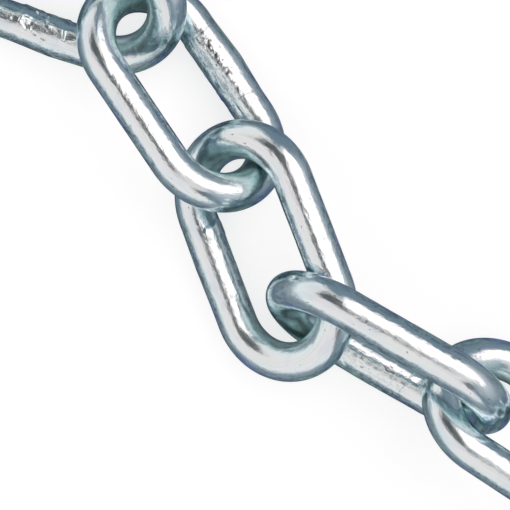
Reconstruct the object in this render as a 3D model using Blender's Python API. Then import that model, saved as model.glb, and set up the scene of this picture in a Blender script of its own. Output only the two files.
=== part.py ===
"""A metre of welded steel chain, lying loose on a level floor.

Round bar is bent into oval links, each passed through the one before and welded shut on one leg.
Here every link is one closed solid. It lies on the floor along one leg, leans to one side and
bears on the link before it, and the next one leans the other way. Metres, +Z up, +X along the chain.
"""

import math

import bmesh
import bpy
import numpy as np
from mathutils import Matrix, Vector

# The link, as chain is ordered: bar diameter, pitch (its inside length) and inside width
BAR_DIAMETER = 0.008
PITCH = 0.038
INSIDE_WIDTH = 0.016

# The length of chain, and the clearance left where two links bear on each other
LINK_COUNT = 26
RUNNING_GAP = 0.0004

# The bar's centre line: a half circle round each end, and a straight leg on each side
END_RADIUS = (INSIDE_WIDTH + BAR_DIAMETER) / 2
HALF_LEG = (PITCH + BAR_DIAMETER) / 2 - END_RADIUS

# Facets of the solid, and the finer steps used to measure how close two links come
BAR_SIDES = 12
BEND_STEPS = 10
FINE_BEND_STEPS = 48
FINE_LEG_STEPS = 24

# How the chain lies. Five links near the middle are set one by one: each has its heading, which is
# the angle in plan from +X, and its roll, by which its left leg is lifted. Angles in degrees.
SET_LINKS = {
    11: (23.0, 39.5),
    12: (-13.0, -34.5),
    13: (-26.2, 32.5),
    14: (13.0, 76.0),
    15: (9.7, -36.0),
}
# How far a link is shifted to the left across the chain, in metres, where it isn't in the middle
SLIPS = {12: -0.0018, 14: 0.0052, 15: 0.0017}

# The other links follow a slow wave with a short wiggle on it
WAVE_DEGREES = 31.0
WAVE_LINKS = 15.0
WIGGLE_DEGREES = 8.0
WIGGLE_LINKS = 3.7
WAVE_START = 7.5
LEAN_DEGREES = (38.0, 34.0, 41.0, 36.0, 44.0)

# Search for the seat of a link: from too far a reach back in steps, then by halving
FAR_REACH = 1.05 * PITCH
REACH_STEP = 0.0005
HALVINGS = 14

ZINC_COLOUR = (0.62, 0.68, 0.70, 1.0)
ZINC_ROUGHNESS = 0.28


def clear_scene():
    for thing in list(bpy.data.objects):
        bpy.data.objects.remove(thing, do_unlink=True)


def centre_line(bend_steps, leg_steps):
    """Points once round the bar's centre line, each with the bar's direction there."""
    stations = []
    for end in (1, -1):
        for step in range(bend_steps + 1):
            angle = math.pi * (step / bend_steps - 0.5)
            direction = Vector((-math.sin(angle), math.cos(angle), 0)) * end
            point = Vector((HALF_LEG + END_RADIUS * math.cos(angle), END_RADIUS * math.sin(angle), 0)) * end
            stations.append((point, direction))
        last_point, direction = stations[-1]
        for step in range(1, leg_steps):
            stations.append((last_point + direction * 2 * HALF_LEG * step / leg_steps, direction))
    return stations


def link_mesh():
    """One link as a closed tube of rings, its length along X and its width along Y."""
    shape = bmesh.new()
    rings = []
    for point, direction in centre_line(BEND_STEPS, 1):
        outward = Vector((direction.y, -direction.x, 0))
        ring = []
        for side in range(BAR_SIDES):
            around = math.tau * side / BAR_SIDES
            offset = outward * math.cos(around) + Vector((0, 0, math.sin(around)))
            ring.append(shape.verts.new(point + offset * BAR_DIAMETER / 2))
        rings.append(ring)
    for ring, following in zip(rings, rings[1:] + rings[:1]):
        for side in range(BAR_SIDES):
            beside = (side + 1) % BAR_SIDES
            shape.faces.new((ring[side], ring[beside], following[beside], following[side]))
    bmesh.ops.recalc_face_normals(shape, faces=shape.faces)
    mesh = bpy.data.meshes.new("link")
    shape.to_mesh(mesh)
    shape.free()
    mesh.shade_smooth()
    return mesh


def zinc_plated_steel():
    material = bpy.data.materials.new("zinc_plated_steel")
    material.use_nodes = True
    shader = material.node_tree.nodes["Principled BSDF"]
    shader.inputs["Base Color"].default_value = ZINC_COLOUR
    shader.inputs["Metallic"].default_value = 1.0
    shader.inputs["Roughness"].default_value = ZINC_ROUGHNESS
    return material


def lie_of(number):
    """The heading and roll of a link, in degrees."""
    if number in SET_LINKS:
        return SET_LINKS[number]
    wave = WAVE_DEGREES * math.sin(math.tau * (number - WAVE_START) / WAVE_LINKS)
    wiggle = WIGGLE_DEGREES * math.sin(math.tau * number / WIGGLE_LINKS)
    lean = LEAN_DEGREES[number % len(LEAN_DEGREES)]
    first_set, last_set = min(SET_LINKS), max(SET_LINKS)
    nearest_set = first_set if number < first_set else last_set
    same_side = (number - nearest_set) % 2 == 0
    side = math.copysign(1, SET_LINKS[nearest_set][1]) * (1 if same_side else -1)
    return wave + wiggle, side * lean


def turned(points, turn):
    return points @ np.array(turn.to_3x3()).T


def closest_pair(points, others):
    """The two closest points of two bars' centre lines, and how far apart they are."""
    distances = np.linalg.norm(points[:, None] - others[None], axis=2)
    here, there = np.unravel_index(distances.argmin(), distances.shape)
    return points[here], others[there], distances[here, there]


def lay_chain(mesh):
    """Each link's place and the point where it turns on the link before it, from the first to the last."""
    corners = np.array([vertex.co for vertex in mesh.vertices])
    bar = np.array([point for point, _ in centre_line(FINE_BEND_STEPS, FINE_LEG_STEPS)])
    laid = []
    for number in range(1, LINK_COUNT + 1):
        heading, roll = (math.radians(angle) for angle in lie_of(number))
        turn = Matrix.Rotation(heading, 4, "Z") @ Matrix.Rotation(roll, 4, "X")
        on_floor = np.array([0, 0, -turned(corners, turn)[:, 2].min()])
        line = turned(bar, turn) + on_floor
        pivot = None
        if laid:
            before = laid[-1]
            middle = (heading + before["heading"]) / 2
            along = np.array([math.cos(middle), math.sin(middle), 0])
            across = np.array([-along[1], along[0], 0])
            start = before["centre"] * (1, 1, 0) + across * SLIPS.get(number, 0)
            reach = FAR_REACH
            wanted = BAR_DIAMETER + RUNNING_GAP
            while closest_pair(before["line"], line + start + along * reach)[2] < wanted:
                reach -= REACH_STEP
            slack = REACH_STEP
            for _ in range(HALVINGS):
                slack /= 2
                clear = closest_pair(before["line"], line + start + along * reach)[2] > wanted
                reach += slack if clear else -slack
            centre = on_floor + start + along * reach
            here, there, _ = closest_pair(before["line"], line + start + along * reach)
            pivot = (here + there) / 2
        else:
            centre = on_floor
        laid.append(
            {
                "heading": heading,
                "turn": turn,
                "centre": centre,
                "line": line + centre - on_floor,
                "corners": turned(corners, turn) + centre,
                "pivot": pivot,
            }
        )
    return laid


def put(thing, place, parent, parent_place):
    """Puts an object at its world place, carried by its parent."""
    bpy.context.collection.objects.link(thing)
    if parent:
        thing.parent = parent
        thing.matrix_parent_inverse = parent_place.inverted()
    thing.matrix_basis = place


def build():
    clear_scene()
    mesh = link_mesh()
    mesh.materials.append(zinc_plated_steel())
    laid = lay_chain(mesh)
    everything = np.concatenate([link["corners"] for link in laid])
    middle = (everything.min(axis=0) + everything.max(axis=0)) / 2
    to_origin = Vector((-middle[0], -middle[1], 0))
    carrier, carrier_place = None, None
    for number, link in enumerate(laid, start=1):
        if link["pivot"] is not None:
            pivot = bpy.data.objects.new(f"pivot_{number:02d}", None)
            pivot.empty_display_size = BAR_DIAMETER
            pivot_place = Matrix.Translation(Vector(link["pivot"]) + to_origin)
            put(pivot, pivot_place, carrier, carrier_place)
            carrier, carrier_place = pivot, pivot_place
        piece = bpy.data.objects.new(f"link_{number:02d}", mesh)
        place = Matrix.Translation(Vector(link["centre"]) + to_origin) @ link["turn"]
        put(piece, place, carrier, carrier_place)
        carrier, carrier_place = piece, place


build()
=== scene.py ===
# %% [markdown]
# # A metre of bright zinc-plated chain
#
# Chain is made from one thing, many times over: a piece of drawn steel bar, bent into an oval,
# passed through the oval before it and welded shut on one leg. It is then plated with zinc, which
# leaves it as bright as a mirror with a cast of blue. So nearly all that the eye sees on it is the
# room around it, squeezed into long bands by the round bar. This lesson builds the link once, as a
# node tree, lays it in 26 places, and then spends its care on the two things that make it look
# real: the small relief of the steel, and the room that it mirrors.
#
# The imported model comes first. It says where every link lies, and nothing here moves it.

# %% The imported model
import math

import bpy
import numpy as np
from mathutils import Matrix, Vector


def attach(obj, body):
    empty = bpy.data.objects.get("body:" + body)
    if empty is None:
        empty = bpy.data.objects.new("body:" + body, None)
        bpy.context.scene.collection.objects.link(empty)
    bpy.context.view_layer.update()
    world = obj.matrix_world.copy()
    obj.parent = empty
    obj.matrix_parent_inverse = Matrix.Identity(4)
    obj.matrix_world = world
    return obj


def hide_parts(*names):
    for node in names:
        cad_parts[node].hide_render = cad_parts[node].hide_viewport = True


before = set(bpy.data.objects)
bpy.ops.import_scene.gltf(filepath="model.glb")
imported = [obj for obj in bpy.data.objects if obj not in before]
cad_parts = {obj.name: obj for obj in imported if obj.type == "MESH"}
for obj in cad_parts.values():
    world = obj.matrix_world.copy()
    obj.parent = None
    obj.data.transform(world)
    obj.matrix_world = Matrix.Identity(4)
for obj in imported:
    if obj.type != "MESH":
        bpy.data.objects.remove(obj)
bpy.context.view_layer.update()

# %% [markdown]
# ## Where each link lies
#
# Each packed link is a closed oval tube in a single mesh. Its corners are spread evenly about its
# middle, so their mean is that middle, and the three directions in which they spread are the link's
# length, its width and its thickness. That gives the link's place without a table of numbers.
# A direction found this way may point either way, so the length is made to run towards +X and the
# thickness to point up. The width then points to the left of the length.

# %% Places of the links
BAR_DIAMETER = 0.008
PITCH = 0.038
INSIDE_WIDTH = 0.016
# Corners that agree to this many digits of a metre are one corner of the link
SAME_CORNER_DIGITS = 6


def place_of(node):
    """The matrix that carries a link lying flat at the origin, its length along X, to its place."""
    corners = np.array([corner.co for corner in node.data.vertices])
    corners = np.unique(corners.round(SAME_CORNER_DIGITS), axis=0)
    middle = corners.mean(axis=0)
    # The directions come in order, from the narrowest spread to the widest
    _, spread = np.linalg.eigh(np.cov((corners - middle).T))
    length = Vector(spread[:, 2])
    thickness = Vector(spread[:, 0])
    if length.x < 0:
        length.negate()
    if thickness.z < 0:
        thickness.negate()
    width = thickness.cross(length)
    turn = Matrix((length, width, thickness)).transposed().to_4x4()
    return Matrix.Translation(Vector(middle)) @ turn


places = {name: place_of(node) for name, node in sorted(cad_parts.items())}
for name in ("link_01", "link_13", "link_26"):
    print(name, "lies at", [round(x * 1000, 2) for x in places[name].translation], "mm")

# %% [markdown]
# ## The camera
#
# The picture looks almost straight down on five links near the middle of the chain. The chain
# crosses it from the top left corner to the bottom right one, so the camera is turned on the spot.
# It stands 445 mm over the floor and has a long lens, which flattens the links only a little.

# %% Camera
CAMERA_STEP = Vector((0.0231, -0.0169))
CAMERA_HEIGHT = 0.4449
CAMERA_TURN = math.radians(43)
CAMERA_LEAN = math.radians(0.96)
CAMERA_NOD = math.radians(3.59)
LENS_MILLIMETRES = 154.8
SENSOR_MILLIMETRES = 36.0

camera_data = bpy.data.cameras.new("camera")
camera_data.lens = LENS_MILLIMETRES
camera_data.sensor_width = SENSOR_MILLIMETRES
camera = bpy.data.objects.new("camera", camera_data)
bpy.context.scene.collection.objects.link(camera)
foot = places["link_13"].translation.to_2d() + CAMERA_STEP
camera.matrix_world = (
    Matrix.Translation((foot.x, foot.y, CAMERA_HEIGHT))
    @ Matrix.Rotation(CAMERA_TURN, 4, "Z")
    @ Matrix.Rotation(CAMERA_LEAN, 4, "Y")
    @ Matrix.Rotation(CAMERA_NOD, 4, "X")
)
bpy.context.scene.camera = camera
print("camera at", [round(x, 4) for x in camera.matrix_world.translation])

# %% [markdown]
# ## Words for building node trees
#
# Every tree below is wired in code. These few helpers keep that short: feed gives a socket a number
# or a wire, and the others add one node and hand back its result, so that a formula can be read
# from the inside out.

# %% Helpers for node trees


def feed(tree, socket, value):
    if isinstance(value, bpy.types.NodeSocket):
        tree.links.new(value, socket)
    elif value is not None:
        socket.default_value = value


def node(tree, kind, settings=None, **inputs):
    """Adds a node. Its inputs are named in lower case with underscores for spaces."""
    made = tree.nodes.new(kind)
    for setting, value in (settings or {}).items():
        setattr(made, setting, value)
    for name, value in inputs.items():
        wanted = name.replace("_", " ")
        socket = next(s for s in made.inputs if s.name.lower() == wanted and s.enabled)
        feed(tree, socket, value)
    return made


print("feed and node ready")

# %% Formulas in node trees


def maths(tree, operation, *values):
    made = tree.nodes.new("ShaderNodeMath")
    made.operation = operation
    for socket, value in zip(made.inputs, values):
        feed(tree, socket, value)
    return made.outputs[0]


def vectors(tree, operation, *values):
    made = tree.nodes.new("ShaderNodeVectorMath")
    made.operation = operation
    for socket, value in zip(made.inputs, values):
        feed(tree, socket, value)
    return made.outputs["Value" if operation == "DOT_PRODUCT" else "Vector"]


def total(tree, *values):
    """All the values added up, from the first to the last."""
    added, *others = values
    for value in others:
        added = maths(tree, "ADD", added, value)
    return added


def product(tree, *values):
    """All the values multiplied, from the first to the last."""
    multiplied, *others = values
    for value in others:
        multiplied = maths(tree, "MULTIPLY", multiplied, value)
    return multiplied


def scaled(tree, vector, number):
    made = tree.nodes.new("ShaderNodeVectorMath")
    made.operation = "SCALE"
    feed(tree, made.inputs[0], vector)
    feed(tree, made.inputs["Scale"], number)
    return made.outputs["Vector"]


def ramp(tree, value, low, high, to_low=0.0, to_high=1.0, step="SMOOTHSTEP"):
    """value carried from low..high to to_low..to_high, level outside."""
    made = tree.nodes.new("ShaderNodeMapRange")
    made.interpolation_type = step
    for socket, given in zip(made.inputs, (value, low, high, to_low, to_high)):
        feed(tree, socket, given)
    return made.outputs[0]


print("formula helpers ready")

# %% Colours and groups


def mixed(tree, factor, first, second):
    """Colour between first and second."""
    made = tree.nodes.new("ShaderNodeMix")
    made.data_type = "RGBA"
    feed(tree, made.inputs["Factor"], factor)
    colour_sockets = [s for s in made.inputs if s.type == "RGBA"]
    feed(tree, colour_sockets[0], first)
    feed(tree, colour_sockets[1], second)
    return next(s for s in made.outputs if s.type == "RGBA")


def new_tree(name, kind, inputs, outputs):
    """A node group with its sockets. inputs and outputs are lists of (name, socket kind, value)."""
    tree = bpy.data.node_groups.new(name, kind)
    for in_out, sockets in (("INPUT", inputs), ("OUTPUT", outputs)):
        for socket_name, socket_kind, value in sockets:
            socket = tree.interface.new_socket(socket_name, in_out=in_out, socket_type=socket_kind)
            if value is not None:
                socket.default_value = value
    given = tree.nodes.new("NodeGroupInput")
    result = tree.nodes.new("NodeGroupOutput")
    return tree, given.outputs, result.inputs


print("colour and group helpers ready")

# %% [markdown]
# ## The link as a node tree
#
# The link's inputs are real sizes: the bar's diameter, the pitch and the inside width. Drawn bar
# comes out a few hundredths of a millimetre under its size, and that also keeps the links' relief
# apart. The other inputs are for what the weld leaves behind. Each mark has an input of its own,
# since every weld on a real chain shows them in other shares. They could also be sculpted, but not
# 26 times.

# %% The link's inputs
VALUE = "NodeSocketFloat"
COUNT = "NodeSocketInt"
LINK_INPUTS = [
    ("Bar Diameter", VALUE, BAR_DIAMETER),
    ("Under Size", VALUE, 0.00008),
    ("Pitch", VALUE, PITCH),
    ("Inside Width", VALUE, INSIDE_WIDTH),
    ("Rings", COUNT, 240),
    ("Sides", COUNT, 72),
    ("Seed", COUNT, 1),
    ("Welded Side", VALUE, -1.0),
    ("Weld Shift", VALUE, 0.0),
    ("Weld Reach", VALUE, 0.0088),
    ("Weld Bulge", VALUE, 0.0002),
    ("Scale Depth", VALUE, 0.0001),
    ("Blow Depth", VALUE, 0.0001),
    ("Cinders", VALUE, 0.5),
    ("Ring Mark", VALUE, 0.5),
    ("Seam Mark", VALUE, 0.0),
    ("Flash Height", VALUE, 0.0001),
    ("Flash Place", VALUE, -0.0062),
    ("Pock Depth", VALUE, 0.00003),
    ("Waviness", VALUE, 0.000038),
    ("Finish", "NodeSocketMaterial", None),
]
link_tree, given, result = new_tree(
    "welded_link", "GeometryNodeTree", LINK_INPUTS, [("Link", "NodeSocketGeometry", None)]
)
g = link_tree
print(f"the link has {len(LINK_INPUTS)} inputs")

# %% [markdown]
# ## The centre line and the bar
#
# A rectangle with its corners rounded off all the way is the centre line of a link: two straight
# legs and two half circles. The rounding stops just short of the half width, so that no two points
# fall together. A circle swept along the line is the bar. Before the sweep, each point of the line
# stores where it is, which way is outward and how far round the ring it lies, and the sweep hands
# these on to the bar.

# %% The centre line
CORNER_POINTS = 48
NEARLY_ALL = 0.9999
UPWARD = (0.0, 0.0, 1.0)
# These two come from the script's own sizes, so a new pitch is set there and not on a modifier
HALF_LEG = (PITCH - INSIDE_WIDTH) / 2
LINE_LENGTH = 4 * HALF_LEG + math.pi * (INSIDE_WIDTH + BAR_DIAMETER)

outline = node(
    g,
    "GeometryNodeCurvePrimitiveQuadrilateral",
    width=maths(g, "ADD", given["Pitch"], given["Bar Diameter"]),
    height=maths(g, "ADD", given["Inside Width"], given["Bar Diameter"]),
)
end_radius = maths(g, "DIVIDE", maths(g, "ADD", given["Inside Width"], given["Bar Diameter"]), 2.0)
rounded = node(
    g,
    "GeometryNodeFilletCurve",
    {"mode": "POLY"},
    curve=outline.outputs[0],
    count=CORNER_POINTS,
    radius=maths(g, "MULTIPLY", end_radius, NEARLY_ALL),
)
line = node(
    g, "GeometryNodeResampleCurve", {"mode": "COUNT"}, curve=rounded.outputs[0], count=given["Rings"]
)
print(f"centre line {LINE_LENGTH * 1000:.1f} mm long")

# %% The bar


def store(tree, geometry, name, kind, value):
    made = tree.nodes.new("GeometryNodeStoreNamedAttribute")
    made.data_type = kind
    made.domain = "POINT"
    feed(tree, made.inputs["Geometry"], geometry)
    made.inputs["Name"].default_value = name
    feed(tree, next(s for s in made.inputs if s.name == "Value" and s.enabled), value)
    return made.outputs[0]


def stored(tree, name, kind):
    made = tree.nodes.new("GeometryNodeInputNamedAttribute")
    made.data_type = kind
    made.inputs["Name"].default_value = name
    return next(s for s in made.outputs if s.name == "Attribute" and s.enabled)


here = g.nodes.new("GeometryNodeInputPosition").outputs[0]
onward = g.nodes.new("GeometryNodeInputTangent").outputs[0]
beside = vectors(g, "CROSS_PRODUCT", onward, UPWARD)
outward = scaled(g, beside, maths(g, "SIGN", vectors(g, "DOT_PRODUCT", beside, here)))
run = g.nodes.new("GeometryNodeSplineParameter").outputs["Length"]
turn = maths(g, "MULTIPLY", run, math.tau / LINE_LENGTH)
carried = store(g, line.outputs[0], "middle", "FLOAT_VECTOR", here)
carried = store(g, carried, "outward", "FLOAT_VECTOR", outward)
carried = store(g, carried, "turn", "FLOAT", turn)
section = node(
    g,
    "GeometryNodeCurvePrimitiveCircle",
    {"mode": "RADIUS"},
    resolution=given["Sides"],
    radius=maths(g, "DIVIDE", maths(g, "SUBTRACT", given["Bar Diameter"], given["Under Size"]), 2.0),
)
bar = node(g, "GeometryNodeCurveToMesh", curve=carried, profile_curve=section.outputs[0])
print(f"bar swept, {len(g.nodes)} nodes so far")

# %% [markdown]
# ## Four numbers for the relief
#
# Noise on a bar should be stretched along it, as drawing through a die leaves it, and it has to meet
# itself where the ring closes. Three numbers can't do both, but four can: two of them turn once
# round the ring, and the other two say where on the bar's section a point lies. Noise in four
# dimensions read with them has no seam. The tree stores the four numbers on the mesh at its end, so
# that the finish can use the same trick.

# %% The four numbers, and noise on them
SEED_STEP = (7.3, 3.1, 0.0)

from_middle = vectors(g, "SUBTRACT", here, stored(g, "middle", "FLOAT_VECTOR"))
radial = vectors(g, "NORMALIZE", from_middle)
sideways = vectors(g, "DOT_PRODUCT", from_middle, stored(g, "outward", "FLOAT_VECTOR"))
raised = vectors(g, "DOT_PRODUCT", from_middle, UPWARD)
ring_radius = LINE_LENGTH / math.tau
angle = stored(g, "turn", "FLOAT")
loop = node(
    g,
    "ShaderNodeCombineXYZ",
    x=maths(g, "MULTIPLY", maths(g, "COSINE", angle), ring_radius),
    y=maths(g, "MULTIPLY", maths(g, "SINE", angle), ring_radius),
    z=sideways,
).outputs[0]


def noise_on_bar(along, across, detail=2.0, roughness=0.5):
    """Noise from 0 to 1, with that many waves a metre along the bar and across it."""
    stretched = vectors(g, "MULTIPLY", loop, (along, along, across))
    moved = vectors(g, "ADD", stretched, scaled(g, SEED_STEP, given["Seed"]))
    made = node(
        g,
        "ShaderNodeTexNoise",
        {"noise_dimensions": "4D"},
        vector=moved,
        w=maths(g, "MULTIPLY", raised, across),
        scale=1.0,
        detail=detail,
        roughness=roughness,
    )
    return made.outputs[0]


def about_zero(noise):
    return maths(g, "SUBTRACT", noise, 0.5)


print(f"the two that turn go round a ring of {ring_radius * 1000:.1f} mm radius")

# %% [markdown]
# ## Where a point of the bar is
#
# Every mark has its place: scale lies on the inside of the welded leg, and wear where the next link
# bears. So the tree works out how far out and how far up on the section a point lies, how far
# round an end, and how far from the weld. Ramps make masks of these, from 0 where the ramp starts to
# 1 where it ends. A range of four numbers says which two values it has there instead. Real edges
# wander, so slow noise bends the distance from the weld before it is used.

# %% Masks
WANDER_WAVES = (130.0, 200.0)
WANDER_REACH = 0.003
# Each of these pairs is where a mask starts and where it is full
END_RANGE = (HALF_LEG * 0.8, HALF_LEG * 1.2)
SEAT_RANGE = (-0.35, -0.95)
UNDER_RANGE = (0.30, -0.40)
WELDED_LEG_RANGE = (-0.002, 0.004)
# The share of its reach within which the weld's mask is full
FULL_WELD = 0.85

half_bar = maths(g, "DIVIDE", given["Bar Diameter"], 2.0)
outwardness = maths(g, "DIVIDE", sideways, half_bar)
upness = maths(g, "DIVIDE", raised, half_bar)
spot = node(g, "ShaderNodeSeparateXYZ", vector=stored(g, "middle", "FLOAT_VECTOR")).outputs
on_end = ramp(g, maths(g, "ABSOLUTE", spot["X"]), *END_RANGE)
seat = product(g, on_end, ramp(g, outwardness, *SEAT_RANGE))
# The underside of each end, which the finish darkens as painted shade
under = product(g, seat, ramp(g, upness, *UNDER_RANGE))
on_welded_leg = ramp(g, product(g, spot["Y"], given["Welded Side"]), *WELDED_LEG_RANGE)
from_joint = maths(g, "SUBTRACT", spot["X"], given["Weld Shift"])
wander = about_zero(noise_on_bar(*WANDER_WAVES))
ragged_run = total(g, from_joint, product(g, wander, WANDER_REACH))
full_reach = product(g, given["Weld Reach"], FULL_WELD)
near_weld = ramp(g, maths(g, "ABSOLUTE", ragged_run), given["Weld Reach"], full_reach)
near_weld = product(g, near_weld, on_welded_leg)
print(f"an end starts {END_RANGE[0] * 1000:.1f} mm from the link's middle")

# %% [markdown]
# ## Scale
#
# The weld is where two bar ends were pressed together, hot. The clamps and the hot flash leave the
# inside of the leg scaly and the outside nearly smooth. Scale lies in patches, and has both small
# flakes and chips with sharp edges. The absolute value of a noise folds it along the lines where it
# is zero, and those folds are the edges of the chips.

# %% Scale
PATCH_WAVES = (190.0, 330.0)
PATCH_RANGE = (0.38, 0.5)
INNER_SIDE = (-0.28, -0.62, 0.06, 1.0)
FLAKE_WAVES = (520.0, 760.0)
FLAKE_SHARE = 2.4
CHIP_WAVES = (330.0, 420.0)
CHIP_EDGES = (0.0, 0.07, -0.35, 0.15)

patches = ramp(g, noise_on_bar(*PATCH_WAVES), *PATCH_RANGE)
scaly = product(g, near_weld, product(g, ramp(g, outwardness, *INNER_SIDE), patches))
flakes = about_zero(noise_on_bar(*FLAKE_WAVES, detail=3.0, roughness=0.6))
chips = maths(g, "ABSOLUTE", about_zero(noise_on_bar(*CHIP_WAVES, detail=1.0)))
chips = ramp(g, chips, *CHIP_EDGES, "LINEAR")
flaking = total(g, product(g, flakes, FLAKE_SHARE), chips)
flaking = product(g, flaking, scaly, given["Scale Depth"])
print("scale laid in patches of about", round(1000 / PATCH_WAVES[0], 1), "mm")

# %% [markdown]
# ## Flats
#
# The joint is dressed with a few blows while it is hot, and each leaves a flat, tilted its own way.
# A cell texture gives every cell a random colour, which serves as the tilt: the height is how far a
# point lies from its cell's middle, measured along that tilt.

# %% Flats
FLAT_WAVES = (340.0, 340.0, 260.0)
FLAT_SEED_STEP = (5.7, 2.3, 0.0)
FLAT_SPREAD = 0.8
TILT_STRENGTH = 2.0
STRUCK_SIDE = (0.1, -0.4)

flats_at = vectors(g, "MULTIPLY", loop, FLAT_WAVES)
flats_at = vectors(g, "ADD", flats_at, scaled(g, FLAT_SEED_STEP, given["Seed"]))
flats = node(
    g,
    "ShaderNodeTexVoronoi",
    {"voronoi_dimensions": "4D"},
    vector=flats_at,
    w=maths(g, "MULTIPLY", raised, FLAT_WAVES[2]),
    scale=1.0,
    randomness=FLAT_SPREAD,
).outputs
tilt = vectors(g, "SUBTRACT", flats["Color"], (0.5, 0.5, 0.5))
from_cell = vectors(g, "SUBTRACT", flats_at, flats["Position"])
blows = vectors(g, "DOT_PRODUCT", from_cell, scaled(g, tilt, TILT_STRENGTH))
blows = product(g, blows, near_weld, given["Blow Depth"])
blows = product(g, blows, ramp(g, outwardness, *STRUCK_SIDE))
print("a flat is about", round(1000 / FLAT_WAVES[0], 1), "mm across")

# %% [markdown]
# ## Cinders, flash and the swelling
#
# Cinders stick along the line where the scale begins: the upper half of a fine noise gives the
# grains, and a narrow mask keeps them on the line. A tag of flash was squeezed out beside the joint
# on the inside of the leg. The joint itself was pressed thicker, and stands out a little on the
# outside.

# %% Cinders, flash and the swelling
CINDER_WAVES = (1250.0, 1250.0)
CINDER_RANGE = (0.51, 0.57)
CINDER_LINE_AT = 0.60
CINDER_LINE_WIDTH = (0.17, 0.08)
CINDER_HEIGHT = 0.00005
TAG_LENGTH = (0.0019, 0.0011)
TAG_SIDE = (-0.70, -0.80)
TAG_RAGGEDNESS = 1.4
SWELL_REACH = 0.0085
SWELL_SIDE = (-0.3, 0.8, 0.1, 1.0)
SWELL_UNDERSIDE = (-0.75, -0.15)

cinders = ramp(g, noise_on_bar(*CINDER_WAVES, roughness=0.6), *CINDER_RANGE)
cinder_side = total(g, outwardness, total(g, wander, CINDER_LINE_AT))
cinder_line = ramp(g, maths(g, "ABSOLUTE", cinder_side), *CINDER_LINE_WIDTH)
cinders = product(g, cinders, product(g, cinder_line, near_weld), given["Cinders"])
tag_run = maths(g, "ABSOLUTE", maths(g, "SUBTRACT", ragged_run, given["Flash Place"]))
tag_side = total(g, outwardness, product(g, flakes, TAG_RAGGEDNESS))
tag = product(g, ramp(g, tag_run, *TAG_LENGTH), on_welded_leg, ramp(g, tag_side, *TAG_SIDE))
tag = product(g, tag, given["Flash Height"])
swell = ramp(g, maths(g, "ABSOLUTE", from_joint), SWELL_REACH, 0.0, 0.0, 1.0, "LINEAR")
swell = product(g, swell, ramp(g, outwardness, *SWELL_SIDE), ramp(g, upness, *SWELL_UNDERSIDE))
swell = product(g, swell, on_welded_leg, given["Weld Bulge"])
print("the swelling fades out", SWELL_REACH * 1000, "mm from the joint")

# %% [markdown]
# ## Waves and pocks
#
# The bar itself isn't quite true. Bending leaves slow waves, drawing leaves finer ones along it, and
# the plate has a few pocks. A bright surface shows all of them, because a wave of a few hundredths of
# a millimetre is enough to bend a reflection. The ends are calmer: there the links bear on each
# other, and waves would bring them into touch.

# %% Waves and pocks
SLOW_WAVES = (130.0, 230.0)
DRAWN_WAVES = (420.0, 1000.0)
SLOW_SHARE = 2.0
DRAWN_SHARE = 0.9
CALMED = (0.0, 1.0, 1.0, 0.5)
POCK_WAVES = (560.0, 700.0)
POCK_RANGE = (0.70, 0.78)

slow = about_zero(noise_on_bar(*SLOW_WAVES, detail=1.0))
drawn = about_zero(noise_on_bar(*DRAWN_WAVES, roughness=0.6))
waves = total(g, product(g, slow, SLOW_SHARE), product(g, drawn, DRAWN_SHARE))
calm = product(g, ramp(g, seat, *CALMED), ramp(g, on_end, *CALMED))
waves = product(g, waves, product(g, given["Waviness"], calm))
pocks = ramp(g, noise_on_bar(*POCK_WAVES, detail=0.0), *POCK_RANGE)
pocks = product(g, pocks, product(g, given["Pock Depth"], -1.0))
print("slow waves, drawn ones and pocks ready")

# %% [markdown]
# ## The relief, and what the finish reads
#
# All heights are added up, and each point moves by its sum straight out from the bar's middle. This
# is real relief in the mesh, so it shows in outline too. Then the tree stores its masks, so that
# colour and dullness fall in the same places as the relief. Last come the two nodes that turn the
# result into a plain mesh with its material.

# %% The relief, and what the finish reads
DEEPEST_SCALE = 0.00012
LEAST_SCALE_COLOUR = 0.05
SEAM_HEIGHT = 0.2
SEAM_WANDER = 2.2
SEAM_SIDE = (-0.3, -0.6)

height = total(g, total(g, swell, flaking), total(g, waves, pocks))
height = total(g, height, total(g, blows, tag), product(g, cinders, CINDER_HEIGHT))
relief = node(g, "GeometryNodeSetPosition", geometry=bar.outputs[0], offset=scaled(g, radial, height))

scale_share = ramp(g, given["Scale Depth"], 0.0, DEEPEST_SCALE, LEAST_SCALE_COLOUR, 1.0, "LINEAR")
seam_across = maths(g, "SUBTRACT", upness, SEAM_HEIGHT)
seam_across = maths(g, "SUBTRACT", seam_across, product(g, wander, SEAM_WANDER))
inside_joint = product(g, near_weld, ramp(g, outwardness, *SEAM_SIDE), given["Seam Mark"])
FINISH_READS = {
    "raised": raised,
    "scaly": product(g, scaly, scale_share),
    "near_weld": near_weld,
    "from_joint": ragged_run,
    "seat": seat,
    "under": under,
    "bent": on_end,
    "cinders": cinders,
    "ringed": product(g, near_weld, given["Ring Mark"]),
    "seam_across": seam_across,
    "inside_joint": inside_joint,
}
kept = store(g, relief.outputs[0], "loop", "FLOAT_VECTOR", loop)
for name, value in FINISH_READS.items():
    kept = store(g, kept, name, "FLOAT", value)
smooth = node(g, "GeometryNodeSetShadeSmooth", geometry=kept)
real = node(g, "GeometryNodeRealizeInstances", geometry=smooth.outputs[0])
finished = node(g, "GeometryNodeSetMaterial", geometry=real.outputs[0], material=given["Finish"])
feed(g, result["Link"], finished.outputs[0])
print(f"link tree: {len(g.nodes)} nodes, {len(FINISH_READS)} masks stored")

# %% [markdown]
# ## Grain on the bar
#
# The finish uses the same noise on four numbers as the relief does, at seven scales. Written out
# seven times that would be a large tangle, so it is a node group with named inputs, built once and
# placed as often as it is needed.

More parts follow.
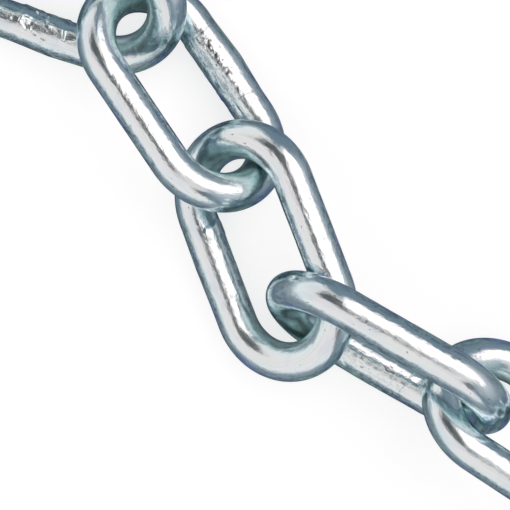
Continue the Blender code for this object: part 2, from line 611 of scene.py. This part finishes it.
# %% Grain group
VECTOR = "NodeSocketVector"
GRAIN_INPUTS = [
    ("Loop", VECTOR, None),
    ("Raised", VALUE, 0.0),
    ("Along", VALUE, 100.0),
    ("Across", VALUE, 1000.0),
    ("Detail", VALUE, 2.0),
    ("Sharpness", VALUE, 0.5),
]
grain_group, grain_given, grain_result = new_tree(
    "bar_grain", "ShaderNodeTree", GRAIN_INPUTS, [("Grain", VALUE, None)]
)
along, across = grain_given["Along"], grain_given["Across"]
frequencies = node(grain_group, "ShaderNodeCombineXYZ", x=along, y=along, z=across).outputs[0]
grain_noise = node(
    grain_group,
    "ShaderNodeTexNoise",
    {"noise_dimensions": "4D"},
    vector=vectors(grain_group, "MULTIPLY", grain_given["Loop"], frequencies),
    w=maths(grain_group, "MULTIPLY", grain_given["Raised"], across),
    scale=1.0,
    detail=grain_given["Detail"],
    roughness=grain_given["Sharpness"],
)
feed(grain_group, grain_result["Grain"], grain_noise.outputs[0])
print(f"grain group: {len(grain_group.nodes)} nodes")

# %% What the finish is told
# Waves a metre along the bar and across it, then the detail and the sharpness of the noise
GRAINS = {
    "lines": (60.0, 3600.0, 3.0, 0.6),
    "clouds": (130.0, 240.0, 2.0, 0.5),
    "tints": (210.0, 420.0, 3.0, 0.5),
    "ragged": (520.0, 1300.0, 3.0, 0.6),
    "pits": (1000.0, 2200.0, 2.0, 0.55),
    "flakes": (1250.0, 1500.0, 3.0, 0.6),
    "grit": (2300.0, 2900.0, 2.0, 0.6),
}


def grain(tree, loop, raised, settings):
    made = tree.nodes.new("ShaderNodeGroup")
    made.node_tree = grain_group
    for socket, value in zip(made.inputs, (loop, raised, *settings)):
        feed(tree, socket, value)
    return made.outputs[0]


def read(tree, name):
    return node(tree, "ShaderNodeAttribute", {"attribute_name": name}).outputs


def told_to_finish(tree):
    """Each mask that the link's tree stored and each grain, by name."""
    told = {name: read(tree, name)["Fac"] for name in FINISH_READS}
    loop = read(tree, "loop")["Vector"]
    for name, settings in GRAINS.items():
        told[name] = grain(tree, loop, told["raised"], settings)
    return told


print(f"the finish is told {len(FINISH_READS)} masks and {len(GRAINS)} grains")

# %% [markdown]
# ## Colour of the plate
#
# Zinc plate is a metal through and through, so its colour is the tint of what it mirrors: a little
# less red than blue. It is never quite even. Rosy and blue casts lie over it in clouds, and the
# drawing lines show as greyer streaks. Inside the ends, where the links bear on each other, it has a
# greenish cast. The undersides there are painted dark, as painted shade for the crevices. Each of
# these is a colour laid over the last by a mask.

# %% Colour of the plate
BRIGHT_ZINC = (0.79, 0.925, 0.935, 1.0)
BLUE_ZINC = (0.62, 0.80, 0.92, 1.0)
ROSY_ZINC = (0.83, 0.90, 0.95, 1.0)
SEAT_ZINC = (0.75, 0.99, 0.97, 1.0)
SCALE_ZINC = (0.76, 0.94, 0.96, 1.0)
STREAK_ZINC = (0.70, 0.82, 0.84, 1.0)
# Painted shade for the undersides of the ends
UNDER_PAINTED_SHADE = (0.10, 0.14, 0.14, 1.0)
# Where a grain starts to show its colour and where it is full, and the share at each
ROSY_CASTS = (0.46, 0.60, 0.0, 0.5)
BLUE_CASTS = (0.54, 0.68, 0.0, 0.45)
STREAKS = (0.52, 0.68, 0.0, 0.7)
SEAT_SHARE = 0.8
SCALE_SHARE = 0.6
UNDER_SHADE_SHARE = 0.8


def plate_colour(m, told):
    colour = mixed(m, ramp(m, told["tints"], *ROSY_CASTS), BRIGHT_ZINC, ROSY_ZINC)
    colour = mixed(m, ramp(m, told["clouds"], *BLUE_CASTS), colour, BLUE_ZINC)
    colour = mixed(m, ramp(m, told["lines"], *STREAKS), colour, STREAK_ZINC)
    colour = mixed(m, product(m, told["seat"], SEAT_SHARE), colour, SEAT_ZINC)
    colour = mixed(m, product(m, told["scaly"], SCALE_SHARE), colour, SCALE_ZINC)
    # Painted shade: the undersides of the ends turn nearly black
    return mixed(m, product(m, told["under"], UNDER_SHADE_SHARE), colour, UNDER_PAINTED_SHADE)


print("bright zinc mirrors", BRIGHT_ZINC[:3], "of red, green and blue")

# %% [markdown]
# ## Painted side shade, specks and the seam
#
# Small dark marks break up every edge of a reflection. The sides of the bar, where the surface
# doesn't face up, get painted shade in broken specks, with less of it on the bends. Specks are the
# lowest spots of a fine grain, with more of them on the scale. The seam is a thin broken line on the
# inside of the joint.

# %% Painted side shade, specks and the seam
SPECK = (0.07, 0.09, 0.09, 1.0)
# Colour of the painted shade on the sides of the bar
SIDE_SHADE_COLOUR = (0.24, 0.34, 0.38, 1.0)
CINDER = (0.05, 0.042, 0.038, 1.0)
FACING_ASIDE = (0.80, 0.60)
SIDE_SHADE_BREAKUP = 0.8
SIDE_SHADE_SPECKS = (0.53, 0.43, 0.0, 0.7)
SIDE_SHADE_ON_BENDS = (0.0, 1.0, 1.0, 0.45)
SPECKS = (0.32, 0.26, 0.0, 0.7)
LOOSE_FLAKES = (0.38, 0.32, 0.0, 0.8)
DARK_GRIT = (0.36, 0.29, 0.0, 0.9)
SEAM_LINE = (0.05, 0.015)
SEAM_GAPS = (0.44, 0.50)
SEAM_DARKNESS = 0.9
BURNT_SHARE = 0.9


# Painted shade: broken dark specks where the surface faces aside, away from straight up
def side_shade_mask(m, told):
    facing = m.nodes.new("ShaderNodeNewGeometry").outputs["Normal"]
    facing_up = node(m, "ShaderNodeSeparateXYZ", vector=facing).outputs["Z"]
    broken = product(m, maths(m, "SUBTRACT", told["grit"], 0.5), SIDE_SHADE_BREAKUP)
    shaded_sides = ramp(m, total(m, told["ragged"], broken), *SIDE_SHADE_SPECKS)
    shaded_sides = product(m, shaded_sides, ramp(m, facing_up, *FACING_ASIDE))
    return product(m, shaded_sides, ramp(m, told["bent"], *SIDE_SHADE_ON_BENDS))


def speck_mask(m, told):
    flakes, grit = ramp(m, told["flakes"], *LOOSE_FLAKES), ramp(m, told["grit"], *DARK_GRIT)
    on_scale = product(m, told["scaly"], maths(m, "MAXIMUM", flakes, grit))
    return maths(m, "MAXIMUM", ramp(m, told["pits"], *SPECKS), on_scale)


def seam_mask(m, told):
    seam = ramp(m, maths(m, "ABSOLUTE", told["seam_across"]), *SEAM_LINE)
    return product(m, seam, told["inside_joint"], ramp(m, told["tints"], *SEAM_GAPS))


print("masks for rubs, specks and the seam ready")

# %% [markdown]
# ## Dullness and fine bump
#
# Plate is nearly a mirror. It is a little duller along the drawing lines, by the weld and on the
# bends, and more so on the scale and at the seats. What is too fine for the mesh is bump: ragged
# edges, pits, lines and flakes. The clamps left a fine ring on each side of the joint, and it is cut
# in here with the seam.

# %% Dullness and fine bump
LINE_ROUGHNESS = (0.3, 0.7, 0.10, 0.16)
SCALE_DULLNESS = 0.08
WELD_DULLNESS = 0.02
BEND_DULLNESS = 0.02
SEAT_DULLNESS = 0.07
CLAMP_MARK = 0.0076
RING_LINE = (0.00022, 0.00006)
BUMP_UNIT = 0.00003
# The bumps, in that unit
RAGGED_BUMP = (0.0, 1.0, 2.7, 1.9)
PIT_BUMP = 0.7
LINE_BUMP = 0.3
FLAKE_BUMP = 2.4
GRIT_BUMP = 1.6
GROOVE_BUMP = 2.4


def plate_roughness(m, told):
    by_weld = product(m, told["near_weld"], WELD_DULLNESS)
    dulled = total(m, product(m, told["scaly"], SCALE_DULLNESS), by_weld)
    dulled = total(m, dulled, product(m, told["bent"], BEND_DULLNESS))
    dulled = total(m, dulled, product(m, told["seat"], SEAT_DULLNESS))
    return total(m, ramp(m, told["lines"], *LINE_ROUGHNESS, "LINEAR"), dulled)


def plate_bump(m, told, seam):
    ring = maths(m, "SUBTRACT", maths(m, "ABSOLUTE", told["from_joint"]), CLAMP_MARK)
    ring = product(m, ramp(m, maths(m, "ABSOLUTE", ring), *RING_LINE), told["ringed"])
    height = product(m, told["ragged"], ramp(m, told["bent"], *RAGGED_BUMP))
    height = total(m, height, product(m, told["pits"], PIT_BUMP), product(m, told["lines"], LINE_BUMP))
    height = total(m, height, product(m, told["flakes"], told["scaly"], FLAKE_BUMP))
    height = total(m, height, product(m, told["grit"], told["scaly"], GRIT_BUMP))
    grooves = product(m, maths(m, "MAXIMUM", ring, seam), GROOVE_BUMP)
    height = maths(m, "SUBTRACT", height, grooves)
    return node(m, "ShaderNodeBump", strength=1.0, distance=BUMP_UNIT, height=height).outputs[0]


print("bump unit", BUMP_UNIT * 1000, "mm")

# %% [markdown]
# ## Zinc plate
#
# Now the parts go into one material. Cinders and the seam are nearly black. The seats are made a
# little less metallic, which takes some of the mirror away and leaves the greenish cast.

# %% Zinc plate
EDGE_TINT = (0.88, 0.95, 1.0, 1.0)
SEAT_METAL = (0.0, 1.0, 1.0, 0.85)


def zinc_plated_steel():
    material = bpy.data.materials.new("zinc_plated_steel")
    material.use_nodes = True
    m = material.node_tree
    shader = m.nodes["Principled BSDF"]
    told = told_to_finish(m)
    seam = seam_mask(m, told)
    burnt = maths(m, "MAXIMUM", told["cinders"], product(m, seam, SEAM_DARKNESS))
    # Painted shade in dark specks on the sides of the bar
    colour = mixed(m, side_shade_mask(m, told), plate_colour(m, told), SIDE_SHADE_COLOUR)
    colour = mixed(m, speck_mask(m, told), colour, SPECK)
    colour = mixed(m, product(m, burnt, BURNT_SHARE), colour, CINDER)
    feed(m, shader.inputs["Base Color"], colour)
    feed(m, shader.inputs["Metallic"], ramp(m, told["seat"], *SEAT_METAL, "LINEAR"))
    feed(m, shader.inputs["Specular Tint"], EDGE_TINT)
    feed(m, shader.inputs["Roughness"], plate_roughness(m, told))
    feed(m, shader.inputs["Normal"], plate_bump(m, told, seam))
    return material


zinc = zinc_plated_steel()
print(f"zinc plate: {len(zinc.node_tree.nodes)} nodes")

# %% [markdown]
# ## Laying the links
#
# Each link is a plain object with the tree as its modifier. Its seed, and so its weld, is its own.
# How strong its marks are goes round in fives, so that the five links in the picture have what the
# picture shows on each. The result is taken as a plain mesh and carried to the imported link's place.
# The links in the picture get finer steps than the others, which are only seen from further off.

# %% Making one link
CLOSE_LINKS = ("link_11", "link_12", "link_13", "link_14", "link_15")
CLOSE_STEPS = {"Rings": 420, "Sides": 120}
FAR_STEPS = {"Rings": 180, "Sides": 56}
# The link's number, divided by five, leaves the place of its value in each row
WELD_CHOICES = {
    "Weld Shift": (0.0008, 0.0020, -0.0008, -0.0015, -0.0010),
    "Weld Bulge": (0.0002, 0.00035, 0.00045, 0.00012, 0.0002),
    "Scale Depth": (0.0001, 0.00006, 0.00012, 0.00003, 0.00003),
    "Blow Depth": (0.00012, 0.0003, 0.00006, 0.00004, 0.00008),
    "Flash Height": (0.0001, 0.0001, 0.0001, 0.00014, 0.0001),
    "Cinders": (0.5, 0.2, 1.0, 0.2, 0.1),
    "Ring Mark": (0.5, 0.3, 0.6, 0.0, 1.0),
    "Seam Mark": (0.0, 0.0, 0.0, 0.0, 0.8),
}


def set_input(modifier, name, value):
    socket = next(
        s for s in modifier.node_group.interface.items_tree if s.name == name and s.in_out == "INPUT"
    )
    modifier[socket.identifier] = value


def plated_link(node_name, number, place):
    holder = bpy.data.objects.new("holder", bpy.data.meshes.new("holder"))
    bpy.context.scene.collection.objects.link(holder)
    modifier = holder.modifiers.new("link", "NODES")
    modifier.node_group = link_tree
    steps = CLOSE_STEPS if node_name in CLOSE_LINKS else FAR_STEPS
    for name, value in steps.items():
        set_input(modifier, name, value)
    set_input(modifier, "Seed", number)
    # In the picture each link's weld is on its lower leg
    left_leg_is_up = place.col[1].z > 0
    set_input(modifier, "Welded Side", -1.0 if left_leg_is_up else 1.0)
    for name, choices in WELD_CHOICES.items():
        set_input(modifier, name, choices[number % len(choices)])
    set_input(modifier, "Finish", zinc)
    graph = bpy.context.evaluated_depsgraph_get()
    mesh = bpy.data.meshes.new_from_object(holder.evaluated_get(graph), depsgraph=graph)
    bpy.data.objects.remove(holder)
    mesh.transform(place)
    mesh.name = f"plated_{node_name}"
    piece = bpy.data.objects.new(mesh.name, mesh)
    bpy.context.scene.collection.objects.link(piece)
    return piece


print(f"{len(WELD_CHOICES)} marks of the weld differ from link to link")

# %% Links in their places
triangles = 0
for number, (node_name, place) in enumerate(places.items(), start=1):
    piece = plated_link(node_name, number, place)
    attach(piece, node_name)
    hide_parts(node_name)
    triangles += sum(len(face.vertices) - 2 for face in piece.data.polygons)
print(f"{number} links laid, {triangles} triangles")

# %% [markdown]
# ## The room
#
# A mirror needs something to mirror. Nearly all that shows on the chain is the room, so the room is
# built from shapes with soft edges, each with a place in the sky. All of it is the world's own
# shader, so it is the same over the whole length of the chain. Lamps and boards would do it too,
# but each would stand nearer to one link than to the next. The first shape is a soft box: a
# rectangle with soft edges, as on a flat sheet that faces the chain.

# %% Soft box group
BOX_INPUTS = [
    ("Direction", VECTOR, None),
    ("Middle", VECTOR, (0.0, 0.0, 1.0)),
    ("Along", VECTOR, (1.0, 0.0, 0.0)),
    ("Half Length", VALUE, 0.5),
    ("Half Width", VALUE, 0.5),
    ("Soft Edge", VALUE, 0.05),
]
box_group, box_given, box_result = new_tree(
    "soft_box", "ShaderNodeTree", BOX_INPUTS, [("Mask", VALUE, None)]
)
b = box_group
depth = vectors(b, "DOT_PRODUCT", box_given["Direction"], box_given["Middle"])
side = vectors(b, "CROSS_PRODUCT", box_given["Middle"], box_given["Along"])
mask = maths(b, "GREATER_THAN", depth, 0.0)
for axis, half in ((box_given["Along"], "Half Length"), (side, "Half Width")):
    reach = maths(b, "DIVIDE", vectors(b, "DOT_PRODUCT", box_given["Direction"], axis), depth)
    reach = maths(b, "ABSOLUTE", reach)
    inner = maths(b, "SUBTRACT", box_given[half], box_given["Soft Edge"])
    outer = maths(b, "ADD", box_given[half], box_given["Soft Edge"])
    mask = product(b, mask, ramp(b, reach, inner, outer, 1.0, 0.0))
feed(b, box_result["Mask"], mask)
print(f"soft box group: {len(b.nodes)} nodes")

# %% Shapes in the sky
RIGHT_ANGLE = 90


def towards(azimuth, from_zenith):
    """Unit vector at that angle round from +X and that angle down from straight up, in degrees."""
    a, t = math.radians(azimuth), math.radians(from_zenith)
    return Vector((math.sin(t) * math.cos(a), math.sin(t) * math.sin(a), math.cos(t)))


def soft_box(tree, direction, azimuth, from_zenith, half_length, half_width, edge):
    """Mask of a soft box, its length running away from the zenith."""
    made = tree.nodes.new("ShaderNodeGroup")
    made.node_tree = box_group
    middle = towards(azimuth, from_zenith)
    along = towards(azimuth, from_zenith + RIGHT_ANGLE)
    values = (direction, middle, along, half_length, half_width, edge)
    for socket, value in zip(made.inputs, values):
        feed(tree, socket, value)
    return made.outputs[0]


def side_of(tree, direction, azimuth, start, end):
    """0 to 1 as a direction swings towards that azimuth, over a straight edge from start to end."""
    level = towards(azimuth, RIGHT_ANGLE)
    return ramp(tree, vectors(tree, "DOT_PRODUCT", direction, level), start, end)


print("straight up is", tuple(towards(0, 0)))

# %% [markdown]
# ## Ceiling and tent
#
# One half of the sky is a ceiling with the soft halo of a white panel, and the other half is the
# pale wall of a light tent, dimmer at its top and cooler at its foot. Low down, where there is no
# tent, the room is a dark slate.

# %% Ceiling and tent
SLATE = (0.18, 0.235, 0.285, 1.0)
CEILING = (0.80, 0.72, 0.715, 1.0)
GLOW = (0.86, 0.80, 0.82, 1.0)
TENT = (0.93, 0.805, 0.797, 1.0)
TENT_FOOT = (0.90, 0.90, 0.91, 1.0)
TENT_TOP = (0.66, 0.58, 0.58, 1.0)
CEILING_EDGE = (0.70, 0.80)
# Azimuth and angle from the zenith
PANEL_PLACE = (60, 25)
HALO_REACH = (0.2, 1.0)
# The azimuth that a side faces, then where its edge starts and ends
HALO_SIDE = (36, 0.4, 0.9)
TENT_SIDE = (235, -0.16, 0.0)
TENT_RISE = (-0.14, 0.19)
TENT_FOOT_RISE = (0.0, 0.45)
TENT_TOP_RISE = (0.86, 0.985)

world = bpy.data.worlds.new("room")
bpy.context.scene.world = world
world.use_nodes = True
w = world.node_tree
direction = w.nodes.new("ShaderNodeTexCoord").outputs["Generated"]
up = node(w, "ShaderNodeSeparateXYZ", vector=direction).outputs["Z"]

light = mixed(w, ramp(w, up, *CEILING_EDGE), SLATE, CEILING)
panel_reach = vectors(w, "DOT_PRODUCT", direction, towards(*PANEL_PLACE))
halo = ramp(w, panel_reach, *HALO_REACH, step="LINEAR")
light = mixed(w, product(w, halo, side_of(w, direction, *HALO_SIDE)), light, GLOW)
tent = product(w, side_of(w, direction, *TENT_SIDE), ramp(w, up, *TENT_RISE))
tent_colour = mixed(w, ramp(w, up, *TENT_FOOT_RISE), TENT_FOOT, TENT)
tent_colour = mixed(w, ramp(w, up, *TENT_TOP_RISE), tent_colour, TENT_TOP)
light = mixed(w, tent, light, tent_colour)
print(f"ceiling and tent: {len(w.nodes)} nodes")

# %% [markdown]
# ## Lens, slits and panel
#
# Between the two halves of the sky is a dark slit with soft edges, which draws the thin dark line
# along the top of every bar. A dark square with soft corners, which stands for a lens, and a short
# slit on the far side put the darker patches on the bent ends. The white panel comes last, over all
# of these. The camera itself sees a plain backdrop instead of the room.

# %% Lens, slits and panel
LENS = (0.105, 0.105, 0.11, 1.0)
SLIT_EDGE = (0.29, 0.27, 0.275, 1.0)
SLIT = (0.02, 0.018, 0.016, 1.0)
WHITE_PANEL = (1.52, 1.27, 1.255, 1.0)
BACKDROP = (0.97, 0.98, 0.98, 1.0)
# Azimuth and angle from the zenith, half length, half width and soft edge
LENS_BOX = (176, 28.5, 0.355, 0.35, 0.14)
FAR_SLIT_BOX = (335, 45, 0.14, 0.17, 0.08)
FAR_SLIT_SHARE = 0.75
SLIT_AZIMUTH = 250
SLIT_PLACE = 0.19
SLIT_SIDE = (172, -0.18, 0.0)
SLIT_RISE = (0.88, 0.92)
SLIT_EDGE_WIDTH = (0.17, 0.03)
SLIT_WIDTH = (0.055, 0.03)
PANEL_REACH = (0.69, 0.79)
PANEL_SIDES = ((20, -0.16, -0.06), (115, 0.03, 0.13))

light = mixed(w, soft_box(w, direction, *LENS_BOX), light, LENS)
far_slit = product(w, soft_box(w, direction, *FAR_SLIT_BOX), FAR_SLIT_SHARE)
light = mixed(w, far_slit, light, LENS)
across_slit = vectors(w, "DOT_PRODUCT", direction, towards(SLIT_AZIMUTH, RIGHT_ANGLE))
across_slit = maths(w, "ABSOLUTE", maths(w, "SUBTRACT", across_slit, SLIT_PLACE))
in_slit = product(w, side_of(w, direction, *SLIT_SIDE), ramp(w, up, *SLIT_RISE))
light = mixed(w, product(w, in_slit, ramp(w, across_slit, *SLIT_EDGE_WIDTH)), light, SLIT_EDGE)
light = mixed(w, product(w, in_slit, ramp(w, across_slit, *SLIT_WIDTH)), light, SLIT)
panel = ramp(w, panel_reach, *PANEL_REACH)
for edge in PANEL_SIDES:
    panel = product(w, panel, side_of(w, direction, *edge))
light = mixed(w, panel, light, WHITE_PANEL)
to_camera = w.nodes.new("ShaderNodeLightPath").outputs["Is Camera Ray"]
light = mixed(w, to_camera, light, BACKDROP)
feed(w, w.nodes["Background"].inputs["Color"], light)
print(f"room: {len(w.nodes)} nodes")

# %% [markdown]
# ## The floor
#
# The picture shows the chain on white, but its edges mirror something dark and patchy, blue in one
# place and green in the next. The floor here does both. To the camera it is a pale sheet that takes
# soft shadows, and to a mirrored ray it is a mottled slate table. It lies a little below the packed
# links' lowest point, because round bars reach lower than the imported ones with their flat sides.

# %% The table that the chain mirrors
TABLE_SLATE = (0.19, 0.285, 0.315, 1.0)
TABLE_BLUE = (0.15, 0.24, 0.50, 1.0)
TABLE_TEAL = (0.31, 0.51, 0.47, 1.0)
TABLE_GRIT = (0.04, 0.06, 0.07, 1.0)
TABLE_PATCHES = 85.0
TABLE_GRAINS = 420.0
TABLE_ROUGHNESS = 0.35
BLUE_TO_SLATE = (0.42, 0.50)
SLATE_TO_TEAL = (0.50, 0.60)
GRIT_RANGE = (0.50, 0.38, 0.0, 0.85)


def table_shader(m):
    where = m.nodes.new("ShaderNodeTexCoord").outputs["Object"]
    patches = node(m, "ShaderNodeTexNoise", vector=where, scale=TABLE_PATCHES, detail=2.0).outputs[0]
    slate = mixed(m, ramp(m, patches, *BLUE_TO_SLATE), TABLE_BLUE, TABLE_SLATE)
    slate = mixed(m, ramp(m, patches, *SLATE_TO_TEAL), slate, TABLE_TEAL)
    grains = node(m, "ShaderNodeTexNoise", vector=where, scale=TABLE_GRAINS, detail=2.0).outputs[0]
    slate = mixed(m, ramp(m, grains, *GRIT_RANGE), slate, TABLE_GRIT)
    return node(m, "ShaderNodeBsdfPrincipled", base_color=slate, roughness=TABLE_ROUGHNESS)


print("patches of the table are about", round(1000 / TABLE_PATCHES), "mm across")

# %% Floor
FLOOR_SIZE = 40.0
FLOOR_DROP = 0.0003
FLOOR_PALE = (0.42, 0.425, 0.425, 1.0)
FLOOR_GLOW = 1.76
FLOOR_ROUGHNESS = 0.9


def floor_material():
    material = bpy.data.materials.new("floor")
    material.use_nodes = True
    m = material.node_tree
    pale = m.nodes["Principled BSDF"]
    pale.inputs["Base Color"].default_value = FLOOR_PALE
    pale.inputs["Roughness"].default_value = FLOOR_ROUGHNESS
    pale.inputs["Specular IOR Level"].default_value = 0.0
    pale.inputs["Emission Color"].default_value = FLOOR_PALE
    pale.inputs["Emission Strength"].default_value = FLOOR_GLOW
    mirrored = m.nodes.new("ShaderNodeLightPath").outputs["Is Glossy Ray"]
    both = m.nodes.new("ShaderNodeMixShader")
    for socket, value in zip(both.inputs, (mirrored, pale.outputs[0], table_shader(m).outputs[0])):
        feed(m, socket, value)
    feed(m, m.nodes["Material Output"].inputs["Surface"], both.outputs[0])
    return material


floor_mesh = bpy.data.meshes.new("floor")
half = FLOOR_SIZE / 2
corners = [(-half, -half), (half, -half), (half, half), (-half, half)]
floor_mesh.from_pydata([(x, y, -FLOOR_DROP) for x, y in corners], [], [(0, 1, 2, 3)])
floor_mesh.materials.append(floor_material())
floor = bpy.data.objects.new("floor", floor_mesh)
bpy.context.scene.collection.objects.link(floor)
bpy.context.scene.view_settings.view_transform = "Standard"
print("floor", FLOOR_SIZE, "m square")
